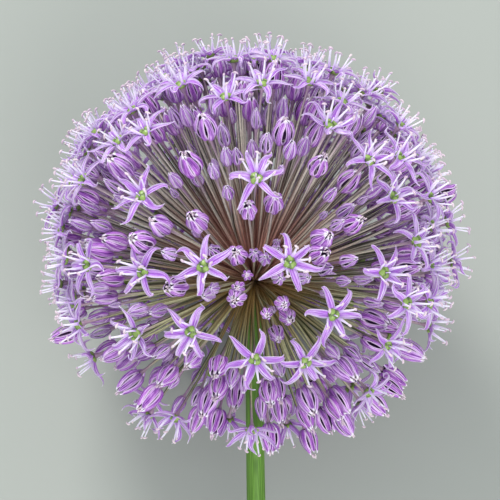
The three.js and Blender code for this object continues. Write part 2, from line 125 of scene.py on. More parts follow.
# The rule that fills the rest of the ball, as in the solids.
SPIRAL_PLACES = 272
FRONT_LIMIT = 6
SCAPE_CLEARANCE = 16
ROOM_BETWEEN_OPEN = 19
OPEN_SHARE = 0.75
BUD_SHARE = 0.5
ROOM_BETWEEN_STALKS = math.radians(5.6)
NEIGHBOUR_DISTANCE = 30
REACHES = {"open": [0, 3, -3, 6, -6], "lantern": [-4, -8, 0, -12, -16], "bud": [-9, -14, -5, -19, -24, 0]}
LANTERN_BALL = (5.5, 4.6)  # how far out along the bloom's axis, and the radius
BUD_BALL = (3, 2.9)
OVARY_BALL = (1, 2.6)
PETAL_BALLS = [(0.5, 1.7, 6, 0), (0.5, 1.5, 10.5, 0), (6.5, 0.7, 5, 30)]  # also to the side, and a turn
TURN_SCATTER = 0.12
TIP_HEIGHTS = (-1.2, 3.4)  # of an open floret's tepals: the lowest, and how much chance adds to it
GOLDEN_TURN = math.pi * (3 - math.sqrt(5))
SEED = 20117
STREAM_FACTOR, STREAM_STEP, STREAM_SIZE = 1664525, 1013904223, 2 ** 32  # of the numbers drawn for places

# The finer shapes. A pair of numbers is a value that varies: the least, and how much chance adds to it at
# the most. Angles are in degrees, hooks in radians.
TEPAL_LENGTH = 13.2
TEPAL_LENGTHS = (0.9, 0.14)  # as shares of that
TEPAL_HALF_WIDTH = 1.24
TEPAL_WIDTHS = (0.9, 0.2)
TEPAL_FOOT = 0.5  # the height of its foot
FIRST_RISE = (12, 26)  # how steeply it leaves the ovary
CUPPED_RISE = (30, 10)  # how much steeper it is in a cupped floret
CUPPED_FROM = 0.86  # florets of a tint above this are cupped
HANGING = (0.55, 0.85)  # and so are those that hang: not at all up to the first, fully from the other
HOOK_DOWN = (-0.8, -2.8)
HOOK_UP = (0.7, 2.4)
HOOKED = (0.5, 0.8)  # tepals below the first share hook down, the others up to the second up
HOOKED_PART = (0.6, 1)  # where along the tepal
TEPAL_BEND = 34  # to the side, along all of it
TEPAL_CURL = 250  # to the side, near the tip
CURLED_PART = (0.52, 1)
TEPAL_TWIST = 46
POSED_FREEDOM = 0.5  # how much of the bend is left where the photograph gives the directions
POSED_TINT = 0.4
BLOOM_TINT_SHARE = 0.72  # how much of a tepal's tint it has in common with its bloom
FILAMENT_LENGTH = 9.2
FILAMENT_LENGTHS = (0.86, 0.2)
FILAMENT_FOOT = (1.5, 0.3)  # how far out and how high it starts
FILAMENT_SWAY = 2.2
STAMEN_SPREAD = (20, 18)  # from the floret's axis
STAMEN_BOW = 34
ANTHER_LENGTH = 2.2
ANTHER_RADIUS = 0.5
OVARY_RADIUS = 2.8
OVARY_HEIGHT = 2.5
OVARY_SIZES = (0.9, 0.16)
STYLE_LENGTH = 2.9
STYLE_RADII = [0.3, 0.22, 0.19, 0.18, 0.26, 0.12]
# Florets that are still shut. The higher foot and tip are, the more pointed is that end. The mouth is how
# wide they stay at the tips, the slit how much of a tepal's width is missing where they part most, ribs how
# far each tepal bulges on its own, and the flare how far the tips curl.
LANTERN = {"radius": 3.8, "length": 11.4, "foot": 0.45, "tip": 0.62, "mouth": 0.03, "slit": 0.27,
           "ribs": 0.55, "flare": 0.8, "stations": 17}
BUD = {"radius": 2.3, "length": 9.8, "foot": 0.68, "tip": 0.95, "mouth": 0.01, "slit": 0.3,
       "ribs": 0.6, "flare": 0.5, "stations": 12}
FOOT_OPENING = 0.03  # their outline isn't quite closed at the foot
SHUT_SIZES = (0.84, 0.24)
LANTERN_MIDDLE = 5
BUD_MIDDLE = 3.5
STALK_RADIUS = 0.49
STALK_TOPS = {"open": 1.25, "lantern": 1.0, "bud": 0.8}  # the radius right under each kind of bloom
STALK_STATIONS = np.array([0, 0.05, 0.2, 0.36, 0.52, 0.68, 0.82, 0.92, 0.965, 0.985, 1])
STALK_WIDTHS = ([0, 0.2, 0.45, 1], [1.3, 1.2, 1, 1])  # where along it, and as a share of the radius
STALK_TOP_FROM = 0.955  # from here on it widens under the bloom
STALK_SWAY = 2.6
# Pale stripes round each stalk: partly its ribs, partly painted highlight lines.
STALK_STRIPES_AND_HIGHLIGHTS = np.array([0, 0.3, 1, 0.3, 0, 0.6, 1, 0.2])  # how pale it is, round it
CORE_RADIUS = 6.6
ROOT_SHARE = 0.92  # stalks start at this share of the core's radius
CORE_KNOBS = (9, 14)  # round the core, and from its top to its foot
KNOB_HEIGHT = 0.035  # as a share of the radius
SCAPE_INTO_CORE = 1.4
SCAPE_RIBS = 12
RIB_DEPTH = 0.012  # as a share of the radius
# The scape's cut end in rings from its middle outwards: how far each lies in, its radius, and how far it is
# from pith to rind.
CUT_DEPTHS = [0.9, 0.75, 0.3, 0, 0.08]
CUT_RADII = [0.15, 0.9, 2.1, 3.4, 4.0]
CUT_RIND = [0, 0.2, 0.5, 0.8, 0.95]
FLOOR_CLEARANCE = 0.05  # the lowest tepals lie this close to the floor
TEPAL_SHARP, SCAPE_SHARP = 50, 60  # edges of more than this angle look sharp
# The kinds of blooms, in the order in which they are made, and the piece that their tepals belong to.
TEPAL_PIECES = {
    "open": "open_tepals", "open_filler": "filler_tepals", "lantern": "lantern_tepals",
    "lantern_filler": "filler_lanterns", "bud": "buds", "bud_filler": "filler_buds",
}

# Pale buds that are still short-stalked.
SMALL_BUDS = 60
SMALL_BUD_REACH = (0.55, 0.3)  # how far out they are, as a share of the ball's radius
SMALL_BUD_SIZE = 0.6

# Further blooms, half hidden behind the others. Shares without a note are of the ball's radius.
FILLER_PLACES = 720
FILLER_TURN = (1, 0.2)  # in radians, added to the spiral's
FILLER_SIZE = 0.92
FILLER_DEPTH = (1, 5)  # how far inside the ball they are
FILLER_SHUT_DEPTH = (6, 10)  # how much further inside lanterns and buds are
FILLER_FRONT = 0.6  # how near the middle of the lens's side they come
FILLER_HANGING = -0.32  # below this height there are fewer
FILLER_HANGING_SHARE = 0.1  # of them
FILLER_STALK_ROOM = math.radians(3.4)
FILLER_OPEN_SHARE = 0.8  # of those with room to open
FILLER_LANTERN_SHARE = 0.5  # of the others
FILLER_OPEN_FRONT = 0.3  # open ones come less far to the front
FILLER_OPEN_ROOM = 8.5
FILLER_TOP = 0.35  # above this height the open ones stand closer
FILLER_TOP_ROOM = 6.2

# Surroundings. A lamp has its place, its size and its power.
LAMPS = {"key": ([-300, 760, 760], 400, 8), "fill": ([300, -700, 700], 800, 7)}
LAMPS_AIM = [0, 40, 60]
LAMPS_UP = [0.1, 1, 0.2]
SKY_STRENGTH = 0.95
SKY_COLOUR = (226, 232, 240)
FLOOR_COLOUR = (160, 164, 156)
FLOOR_RADIUS = 4  # in metres


# --- Head axes: u to the right, v along the scape towards the head, w towards the lens
tilt = (math.asin(HUB_HEIGHT / math.hypot(SCAPE_LENGTH, SCAPE_RADIUS_CUT))
        - math.atan2(SCAPE_RADIUS_CUT, SCAPE_LENGTH))
HEAD_AXES = np.array([
    [1, 0, 0],
    [0, math.cos(tilt), math.sin(tilt)],
    [0, -math.sin(tilt), math.cos(tilt)],
])
scape_high = np.array(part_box("scape")[1]) / MM
HUB = np.array([
    scape_high[0] - SCAPE_LEAN - SCAPE_RADIUS_CUT,
    scape_high[1] + SCAPE_SOLID_END * math.cos(tilt) - SCAPE_RADIUS_TOP * math.sin(tilt),
    HUB_HEIGHT,
])


def in_world(places):
    """Places in head axes, as places in the part's frame."""
    return np.asarray(places) @ HEAD_AXES + HUB


# --- Camera, floor and light
def aim(thing, place, towards, up):
    """Puts a thing at a place, with its own -Z towards another place."""
    back = np.asarray(place, float) - towards
    back /= np.linalg.norm(back)
    right = np.cross(up, back)
    right /= np.linalg.norm(right)
    axes = np.column_stack([right, np.cross(back, right), back, np.asarray(place) * MM])
    thing.matrix_world = Matrix(np.vstack([axes, [0, 0, 0, 1]]).tolist())


def add(name, data):
    thing = bpy.data.objects.new(name, data)
    bpy.context.scene.collection.objects.link(thing)
    return thing


def make_camera():
    data = bpy.data.cameras.new("camera")
    data.angle = 2 * math.atan(FRAME_MIDDLE * MM_PER_PIXEL / LENS_DISTANCE)
    data.clip_end = 20
    camera = add("camera", data)
    middle = in_world([LENS_ACROSS, LENS_ALONG, 0])
    aim(camera, middle + LENS_DISTANCE * HEAD_AXES[2], middle, HEAD_AXES[1])
    bpy.context.scene.camera = camera


def colour(red, green, blue):
    """A colour given as on a screen, from 0 to 255, in linear light."""
    shares = np.array([red, green, blue]) / 255
    linear = np.where(shares <= 0.04045, shares / 12.92, ((shares + 0.055) / 1.055) ** 2.4)
    return (*linear.tolist(), 1)


def make_surroundings():
    bpy.ops.mesh.primitive_circle_add(vertices=96, radius=FLOOR_RADIUS, fill_type="NGON")
    floor = bpy.context.object
    floor.name = "floor"
    finish = Finish("floor", Base_Color=colour(*FLOOR_COLOUR), Roughness=0.85, Specular_IOR_Level=0.2)
    floor.data.materials.append(finish.material)
    world = bpy.data.worlds.new("world")
    world.use_nodes = True
    sky = world.node_tree.nodes["Background"]
    sky.inputs["Color"].default_value = colour(*SKY_COLOUR)
    sky.inputs["Strength"].default_value = SKY_STRENGTH
    bpy.context.scene.world = world
    for name, (place, size, power) in LAMPS.items():
        lamp = bpy.data.lights.new(name, "AREA")
        lamp.shape = "DISK"
        lamp.size = size * MM
        lamp.energy = power
        aim(add(name, lamp), place, LAMPS_AIM, LAMPS_UP)
    view = bpy.context.scene.view_settings
    view.view_transform = "Standard"
    view.look = "None"


# --- Where every bloom is
def number_stream(seed):
    """A repeatable stream of numbers from 0 to 1."""
    state = seed
    while True:
        state = (state * STREAM_FACTOR + STREAM_STEP) % STREAM_SIZE
        yield state / STREAM_SIZE


def vary(pair, chance):
    """A value that varies: the least, and what chance adds to it."""
    return pair[0] + pair[1] * chance


def unit(vector):
    return vector / np.linalg.norm(vector, axis=-1, keepdims=True)


def place_at_pixel(x, y, radius, behind=False):
    """The place of a bloom seen at a pixel, on the ball of the given radius and clear of the scape."""
    depth = radius
    for _ in range(DEPTH_PASSES):
        scale = MM_PER_PIXEL * (LENS_DISTANCE - depth) / LENS_DISTANCE
        right = LENS_ACROSS + (x - FRAME_MIDDLE) * scale
        up = LENS_ALONG + (FRAME_MIDDLE - y) * scale
        across = math.hypot(right - BALL_CENTRE[0], up - BALL_CENTRE[1])
        ahead = SCAPE_CLEARANCE ** 2 - right ** 2 if up < 0 else 0
        depth = math.sqrt(max(0, radius ** 2 - across ** 2, ahead)) * (-1 if behind else 1)
    return np.array([right, up, depth])


def bloom_axes(place):
    """A bloom's axes: to the right as near as can be, up, and out along its stalk."""
    outward = unit(place)
    level = np.array([1.0, 0, 0]) if abs(outward[0]) < 0.95 else np.array([0, 1.0, 0])
    right = unit(level - outward * level.dot(outward))
    return np.array([right, np.cross(outward, right), outward])


def tepal_angles(bloom, axes):
    if not bloom["directions"]:
        return math.radians(bloom["roll"]) + np.arange(6) * math.pi / 3
    angles = []
    for direction in np.radians(bloom["directions"]):
        seen = np.array([math.cos(direction), math.sin(direction), 0])
        seen[2] = -seen.dot(axes[2]) / axes[2][2]
        angles.append(math.atan2(seen.dot(axes[1]), seen.dot(axes[0])))
    return np.sort(angles)


def new_bloom(kind, roll, place=None, size=1, directions=()):
    return {"kind": kind, "roll": roll, "place": place, "size": size, "directions": directions}


def room_taken_by(bloom):
    """The balls that stand for a bloom while its place is chosen: centres and radii."""
    axes = bloom_axes(bloom["place"])
    if bloom["kind"] != "open":
        out, radius = LANTERN_BALL if bloom["kind"] == "lantern" else BUD_BALL
        return np.array([bloom["place"] + out * axes[2]]), np.array([radius])
    centres, radii = [bloom["place"] + OVARY_BALL[0] * axes[2]], [OVARY_BALL[1]]
    for angle in tepal_angles(bloom, axes):
        for out, radius, side, turn in PETAL_BALLS:
            at = angle + math.radians(turn)
            offset = side * math.cos(at) * axes[0] + side * math.sin(at) * axes[1] + out * axes[2]
            centres.append(bloom["place"] + offset)
            radii.append(radius)
    return np.array(centres), np.array(radii)


def is_free(bloom, blooms):
    centres, radii = room_taken_by(bloom)
    for other in blooms:
        apart = np.linalg.norm(other["place"] - bloom["place"])
        if apart > NEIGHBOUR_DISTANCE:
            continue
        if math.acos(min(1, unit(other["place"]).dot(unit(bloom["place"])))) < ROOM_BETWEEN_STALKS:
            return False
        other_centres, other_radii = other["room"]
        gaps = np.linalg.norm(other_centres[:, None] - centres[None], axis=2)
        if (gaps <= other_radii[:, None] + radii[None]).any():
            return False
    return True


def settle(blooms, kind, place_at, roll=0, directions=(), must_be_there=True):
    """Adds a bloom at the first reach that is free. With none free, it gets the first if it must be there."""
    tried = [place_at(BALL_RADIUS + reach) for reach in REACHES[kind]]
    bloom = new_bloom(kind, roll, directions=directions)
    free = next((place for place in tried if is_free({**bloom, "place": place}, blooms)), None)
    if free is None and not must_be_there:
        return False
    bloom["place"] = tried[0] if free is None else free
    bloom["room"] = room_taken_by(bloom)
    blooms.append(bloom)
    return True


def settle_listed(blooms, opened, behind, lanterns, buds, draw):
    """Adds listed blooms. The pixel of lanterns and buds is their middle's, so their foot is further in."""
    for pixels, is_behind in ((opened, False), (behind, True)):
        for x, y, roll in pixels:
            settle(blooms, "open", lambda radius: place_at_pixel(x, y, radius, is_behind), roll)
    for kind, pixels, to_middle in (("lantern", lanterns, LANTERN_MIDDLE), ("bud", buds, BUD_MIDDLE)):
        for x, y in pixels:
            settle(blooms, kind, lambda radius: place_at_pixel(x, y, radius), 60 * draw())
            blooms[-1]["size"] = LANTERN_SIZES.get((x, y), 1)
            blooms[-1]["place"] = blooms[-1]["place"] - to_middle * unit(blooms[-1]["place"])


def on_spiral(step, places, turn):
    """The direction of one of the places of a spiral round the ball."""
    height = 1 - 2 * (step + 0.5) / places
    turn = step * GOLDEN_TURN + turn
    ring = math.sqrt(1 - height ** 2)
    return np.array([ring * math.cos(turn), height, ring * math.sin(turn)])


def is_near_scape(place):
    return place[1] < 0 and math.hypot(place[0], place[2]) < SCAPE_CLEARANCE


def add_spiral_blooms(blooms, draw):
    for step in range(SPIRAL_PLACES):
        outward = on_spiral(step, SPIRAL_PLACES, TURN_SCATTER * (draw() - 0.5))
        roll = 60 * draw()
        first, second = draw(), draw()
        place = BALL_RADIUS * outward + BALL_CENTRE
        if place[2] > FRONT_LIMIT or is_near_scape(place):
            continue
        roomy = all(
            bloom["kind"] != "open" or np.linalg.norm(bloom["place"] - place) > ROOM_BETWEEN_OPEN
            for bloom in blooms
        )
        kinds = ["open"] if roomy and first < OPEN_SHARE else []
        kinds += ["bud"] if second < BUD_SHARE else ["lantern", "bud"]
        for kind in kinds:
            if settle(blooms, kind, lambda radius: radius * outward + BALL_CENTRE, roll, must_be_there=False):
                break


def add_small_buds(blooms, draw):
    """Buds that are still short-stalked and pale, deep inside the head."""
    for step in range(SMALL_BUDS):
        outward = on_spiral(step, SMALL_BUDS, draw())
        place = BALL_RADIUS * vary(SMALL_BUD_REACH, draw()) * outward + BALL_CENTRE
        if not is_near_scape(place):
            blooms.append(new_bloom("bud_filler", 60 * draw(), place, SMALL_BUD_SIZE))


def add_fillers(blooms, draw):
    """Blooms that show only in part, behind the others and round the rim."""
    for step in range(FILLER_PLACES):
        outward = on_spiral(step, FILLER_PLACES, vary(FILLER_TURN, draw()))
        roll, which, depth = 60 * draw(), draw(), draw()
        place = (BALL_RADIUS - vary(FILLER_DEPTH, depth)) * outward + BALL_CENTRE
        directions = unit(np.array([bloom["place"] for bloom in blooms]))
        crowded = (directions @ unit(place)).max() > math.cos(FILLER_STALK_ROOM)
        hanging = outward[1] < FILLER_HANGING
        left_out = hanging and which > FILLER_HANGING_SHARE
        if outward[2] > FILLER_FRONT or crowded or is_near_scape(place) or left_out:
            continue
        opened = [bloom["place"] for bloom in blooms if bloom["kind"].startswith("open")]
        room = FILLER_TOP_ROOM if outward[1] > FILLER_TOP else FILLER_OPEN_ROOM
        roomy = np.linalg.norm(np.array(opened) - place, axis=1).min() > room
        roomy = roomy and outward[2] < FILLER_OPEN_FRONT and not hanging
        if roomy and which < FILLER_OPEN_SHARE:
            kind = "open_filler"
        else:
            kind = "lantern_filler" if which < FILLER_LANTERN_SHARE else "bud_filler"
            place = place - vary(FILLER_SHUT_DEPTH, depth) * outward
        blooms.append(new_bloom(kind, roll, place, FILLER_SIZE))


def all_blooms():
    draw = number_stream(SEED).__next__
    blooms = []
    for (x, y), directions in OPEN_WITH_DIRECTIONS.items():
        settle(blooms, "open", lambda radius: place_at_pixel(x, y, radius), directions=directions)
    settle_listed(blooms, OPEN_WITH_ROLL, OPEN_BEHIND, LANTERNS, BUDS, draw)
    add_spiral_blooms(blooms, draw)
    for bloom in blooms:
        bloom["tip_heights"] = [vary(TIP_HEIGHTS, draw()) for _ in range(6)]
    settle_listed(blooms, MORE_OPEN, MORE_BEHIND, MORE_LANTERNS, MORE_BUDS, draw)
    add_small_buds(blooms, draw)
    add_fillers(blooms, draw)
    return blooms


class Group:
    """The blooms of one kind: where they are, their axes and their own looks, in arrays."""

    def __init__(self, blooms, kind, dice):
        chosen = [bloom for bloom in blooms if bloom["kind"] == kind]
        axes = np.array([bloom_axes(bloom["place"]) for bloom in chosen])
        self.count = len(chosen)
        self.place = np.array([bloom["place"] for bloom in chosen])
        self.angles = np.array([tepal_angles(*both) for both in zip(chosen, axes)])
        self.size = np.array([bloom["size"] for bloom in chosen])
        self.origin = in_world(self.place)
        self.right, self.up, self.outward = (axes[:, index] @ HEAD_AXES for index in range(3))
        self.tips = np.array([bloom.get("tip_heights", [0] * 6) for bloom in chosen])
        posed = np.array([bool(bloom["directions"]) for bloom in chosen])
        self.freedom = np.where(posed, POSED_FREEDOM, 1)[:, None, None]
        self.tint = dice.random(self.count) * np.where(posed, POSED_TINT, 1)
        self.dice = {name: dice.random((self.count, 6)) for name in "abcdefghi"}
        self.wide_dice = {name: values[..., None] for name, values in self.dice.items()}
        own_tint = (1 - BLOOM_TINT_SHARE) * self.dice["i"]
        self.tepal_tint = (BLOOM_TINT_SHARE * self.tint[:, None] + own_tint)[..., None, None]

    def roots(self):
        """Where the stalks start on the core. The lowest start further up, clear of the scape."""
        from_scape = np.arccos(-self.place[:, 1] / np.linalg.norm(self.place, axis=1))
        raised = from_scape + math.radians(LOWER_ROOT_LIFT) * np.maximum(0, 1 - 2 * from_scape / math.pi)
        round_ = np.arctan2(self.place[:, 2], self.place[:, 0])
        outward = [np.sin(raised) * np.cos(round_), -np.cos(raised), np.sin(raised) * np.sin(round_)]
        return in_world(ROOT_SHARE * CORE_RADIUS * np.column_stack(outward))

    def points(self, angle, radius, height, aside=0):
        """Places round the blooms' axes. The arrays start with a row for each bloom."""
        return self.vectors(angle, radius, height, aside) + spread(self.origin, np.ndim(radius + angle))

    def vectors(self, angle, radius, height, aside=0):
        along_right = radius * np.cos(angle) - aside * np.sin(angle)
        along_up = radius * np.sin(angle) + aside * np.cos(angle)
        height = height + 0 * along_right
        dimensions = along_right.ndim
        return (along_right[..., None] * spread(self.right, dimensions)
                + along_up[..., None] * spread(self.up, dimensions)
                + height[..., None] * spread(self.outward, dimensions))


def spread(vectors, dimensions):
    """Gives one vector for each bloom the shape of arrays with that many dimensions."""
    return vectors.reshape((len(vectors),) + (1,) * (dimensions - 1) + (3,))


def rise_between(value, low, high):
    """Goes smoothly from 0 to 1 as the value goes from low to high."""
    share = np.clip((value - low) / (high - low), 0, 1)
    return share * share * (3 - 2 * share)


# --- Tubes: everything here is rings of corners along lines, closed at both ends
def turns_of(sides):
    """The angles of a ring's corners."""
    return 2 * math.pi * np.arange(sides) / sides


def running(steps):
    """Sums along lines, from 0 at their start."""
    return np.pad(np.cumsum(steps, axis=-1), [(0, 0), (0, 0), (1, 0)])


def ring_round(lines, side, across, above):
    """Rings along lines. lines and side end in (stations, 3); across and above in (stations, corners)."""
    along = unit(np.gradient(lines, axis=-2))
    above_line = unit(np.cross(along, side))
    to_side = np.cross(above_line, along)
    return (lines[..., None, :] + to_side[..., None, :] * across[..., None]
            + above_line[..., None, :] * above[..., None])


def round_tubes(lines, side, radii, sides):
    """Round tubes of the given radii along lines."""
    turns = turns_of(sides)
    return ring_round(lines, side, radii[..., None] * np.cos(turns), radii[..., None] * np.sin(turns))


class Piece:
    """Gathers tubes, with the numbers that the material reads at their corners, into one object."""

    def __init__(self):
        self.corners, self.loops, self.sizes = [], [], []
        self.numbers = collections.defaultdict(list)
        self.total = 0

    def add(self, rings, along, across=0, tint=0, inner=0):
        """rings: (..., stations, corners, 3). The numbers have that shape, or one that spreads to it."""
        shape = rings.shape[:-1]
        stations, sides = shape[-2:]
        for name, values in (("along", along), ("across", across), ("tint", tint), ("inner", inner)):
            self.numbers[name].append(np.broadcast_to(values, shape).ravel())
        rings = rings.reshape(-1, stations, sides, 3)
        ids = self.total + np.arange(rings[..., 0].size).reshape(rings.shape[:-1])
        after = np.roll(ids, -1, axis=2)
        walls = np.stack([ids[:, :-1], after[:, :-1], after[:, 1:], ids[:, 1:]], axis=-1)
        ends = np.concatenate([ids[:, 0, ::-1], ids[:, -1]])
        self.corners.append(rings.reshape(-1, 3))
        self.loops += [walls.ravel(), ends.ravel()]
        self.sizes += [np.full(walls.size // 4, 4), np.full(len(ends), sides)]
        self.total += ids.size

    def finish(self, name, replaced, slot, material, sharp=None):
        corners = np.concatenate(self.corners)
        corners[:, 2] = np.maximum(corners[:, 2], FLOOR_CLEARANCE)  # pressed flat on the floor
        loops = np.concatenate(self.loops)
        sizes = np.concatenate(self.sizes)
        mesh = bpy.data.meshes.new(name)
        mesh.vertices.add(len(corners))
        mesh.vertices.foreach_set("co", (corners * MM).astype(np.float32).ravel())
        mesh.loops.add(len(loops))
        mesh.loops.foreach_set("vertex_index", loops.astype(np.int32))
        mesh.polygons.add(len(sizes))
        mesh.polygons.foreach_set("loop_start", (np.cumsum(sizes) - sizes).astype(np.int32))
        mesh.polygons.foreach_set("use_smooth", np.ones(len(sizes), bool))
        mesh.update(calc_edges=True)
        if sharp:
            mesh.set_sharp_from_angle(angle=math.radians(sharp))
        for number, values in self.numbers.items():
            data = mesh.attributes.new(number, "FLOAT", "POINT").data
            data.foreach_set("value", np.concatenate(values).astype(np.float32))
        mesh.materials.append(material)
        piece = add(name, mesh)
        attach(piece, "root")
        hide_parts(replaced)


# --- Open florets
# The ring round a tepal: share of its half width, and whether the corner is on the lower or upper face.
TEPAL_RING = np.array([-1, -0.55, 0, 0.55, 1, 0.55, 0, -0.55])
TEPAL_UNDER = np.array([0, 1, 1, 1, 0, 0, 0, 0])
TEPAL_UPPER = np.array([0, 0, 0, 0, 0, 1, 1, 1])


def tepal_rings(lines, side, half_width, channel, thickness):
    """Tepals along lines: a channel with raised margins above and a keel below."""
    across = half_width[..., None] * TEPAL_RING
    raised = (channel * half_width)[..., None] * np.abs(TEPAL_RING) ** 1.6
    keel = thickness[..., None] * TEPAL_UNDER * (1 - 0.45 * np.abs(TEPAL_RING))
    return ring_round(lines, side, across, raised - keel)


def lancet(along):
    """How wide a tepal is along its length, from 0 to 1."""
    return 0.06 + 0.4 * (1 - along) ** 1.5 + 0.9 * np.sin(0.98 * math.pi * along ** 0.7) ** 1.1


def open_tepals(piece, florets):
    stations = np.linspace(0, 1, 15) ** 0.9
    middles = (stations[1:] + stations[:-1]) / 2
    dice = florets.wide_dice
    hanging = rise_between(-florets.outward @ HEAD_AXES[1], *HANGING)[:, None, None]
    cupped = np.maximum(hanging, florets.tint[:, None, None] > CUPPED_FROM)
    mean_rise = np.arcsin((florets.tips[..., None] - TEPAL_FOOT) / TEPAL_LENGTH)
    mean_rise = mean_rise + cupped * np.radians(vary(CUPPED_RISE, dice["b"]))
    first_rise = np.radians(vary(FIRST_RISE, dice["b"])) * (1 - cupped)
    hooks = [vary(HOOK_DOWN, dice["d"]), vary(HOOK_UP, dice["d"])]
    hook = np.select([dice["c"] < share for share in HOOKED], hooks, 0)
    rise = first_rise + 2 * (mean_rise - first_rise) * middles
    rise = rise + hook * rise_between(middles, *HOOKED_PART)
    bend = np.radians(TEPAL_BEND) * (dice["e"] - 0.5) * middles
    curl = np.radians(TEPAL_CURL) * (dice["f"] - 0.5) * rise_between(middles, *CURLED_PART)
    bend = florets.freedom * bend + curl
    steps = TEPAL_LENGTH * vary(TEPAL_LENGTHS, dice["a"]) * np.diff(stations)
    ahead = running(steps * np.cos(rise) * np.cos(bend))
    aside = running(steps * np.cos(rise) * np.sin(bend))
    height = running(steps * np.sin(rise))
    angles = florets.angles[..., None]
    lines = florets.points(angles, 1.0 + ahead, TEPAL_FOOT + height, aside)
    twist = np.radians(TEPAL_TWIST) * (dice["g"] - 0.5) * stations
    side = florets.vectors(angles, 0, np.sin(twist), np.cos(twist))
    half_width = TEPAL_HALF_WIDTH * vary(TEPAL_WIDTHS, dice["h"]) * lancet(stations)
    channel = 0.42 + 0.3 * (1 - stations)
    thickness = 0.16 + 0.3 * (1 - stations) ** 1.5
    rings = tepal_rings(lines, side, half_width, channel, thickness)
    piece.add(rings, stations[:, None], TEPAL_RING, florets.tepal_tint)


def filaments_and_anthers(filaments, anthers, florets):
    """Six stamens to a floret, between its tepals, flat at the foot, each with an anther across its tip."""
    stations = np.linspace(0, 1, 8)
    angles = florets.angles
    before = np.roll(angles, 1, axis=1)
    before[:, 0] -= 2 * math.pi
    valleys = (angles + before)[..., None] / 2
    dice = florets.wide_dice
    bow = STAMEN_BOW * (0.3 - stations) * (1.3 - stations)
    lean = np.radians(vary(STAMEN_SPREAD, dice["d"]) + bow)[..., 1:]
    steps = FILAMENT_LENGTH * vary(FILAMENT_LENGTHS, dice["e"]) * np.diff(stations)
    outwards = FILAMENT_FOOT[0] + running(steps * np.sin(lean))
    height = FILAMENT_FOOT[1] + running(steps * np.cos(lean))
    lines = florets.points(valleys, outwards, height, FILAMENT_SWAY * (dice["f"] - 0.5) * stations ** 2)
    side = florets.vectors(valleys, 0, 0, 1)
    width = 0.33 + 0.5 * (1 - stations) ** 1.8
    thin = np.minimum(width, 0.28 + 0.06 * (1 - stations))
    turns = turns_of(6)
    rings = ring_round(lines, side, width[:, None] * np.cos(turns), thin[:, None] * np.sin(turns))
    filaments.add(rings, stations[:, None], 0, florets.tint[:, None, None, None])

    tips = lines[:, :, -1]
    swing = 2 * math.pi * dice["g"][..., 0]
    along = florets.vectors(valleys[..., 0], 0.8 * np.cos(swing), 0.45 * np.sin(swing), 0.8 * np.sin(swing))
    along = unit(along + 0.2 * spread(florets.outward, 2))
    share = np.linspace(-0.5, 0.5, 7)
    sag = -0.9 * share ** 2 * ANTHER_LENGTH
    lines = tips[:, :, None] + along[:, :, None] * (share * ANTHER_LENGTH)[:, None]
    lines = lines + spread(florets.outward, 3) * sag[:, None]
    radii = ANTHER_RADIUS * np.sqrt(np.maximum(0.03, 1 - (2 * share) ** 2))[:, None]
    radii = radii * (0.72 + 0.3 * np.abs(np.cos(turns)))
    side = unit(np.cross(along, spread(florets.outward, 2)))[:, :, None]
    rings = ring_round(lines, side, radii * np.cos(turns), radii * np.sin(turns))
    anthers.add(rings, share[:, None] + 0.5, 0, florets.dice["h"][..., None, None])


def ovaries(piece, styles, florets):
    """A plump ovary of three lobes with a short style between them."""
    stations = np.linspace(0, 1, 10)
    turns = turns_of(30)
    bulge = np.sin(math.pi * (0.2 + 0.74 * stations)) ** 0.6
    lobes = 0.62 + 0.38 * np.abs(np.cos(1.5 * turns)) ** 0.55
    radii = OVARY_RADIUS * bulge[:, None] * (1 + (lobes - 1) * (0.35 + 0.65 * stations[:, None]))
    dip = 0.5 * rise_between(stations, 0.7, 1)[:, None] * (1 - lobes)
    height = 0.1 + OVARY_HEIGHT * (stations[:, None] - dip)
    size = vary(OVARY_SIZES, florets.tint[:, None, None])
    angles = florets.angles[:, :1, None] + turns
    rings = florets.points(angles, size * radii, size * height)
    piece.add(rings, stations[:, None], np.abs(np.cos(1.5 * turns)), florets.tint[:, None, None])

    stations = np.linspace(0, 1, 6)
    lean = 0.5 * (florets.dice["a"][:, :1] - 0.5) * stations ** 2
    lines = florets.points(florets.angles[:, :1], lean, OVARY_HEIGHT - 0.6 + STYLE_LENGTH * stations)
    side = florets.vectors(florets.angles[:, :1] + 0 * stations, 1, 0)
    rings = round_tubes(lines, side, np.array(STYLE_RADII), 6)
    styles.add(rings, stations[:, None], 0, florets.tint[:, None, None])


# --- Lanterns and buds
def egg(along, shape, mouth):
    """How wide a shut floret is along its length, from 0 to 1."""
    foot, tip = shape["foot"], shape["tip"]
    widest = (foot * (1 + mouth) - FOOT_OPENING * tip) / (foot + tip)
    outline = (along + FOOT_OPENING) ** foot * (1 + mouth - along) ** tip
    return outline / ((widest + FOOT_OPENING) ** foot * (1 + mouth - widest) ** tip)


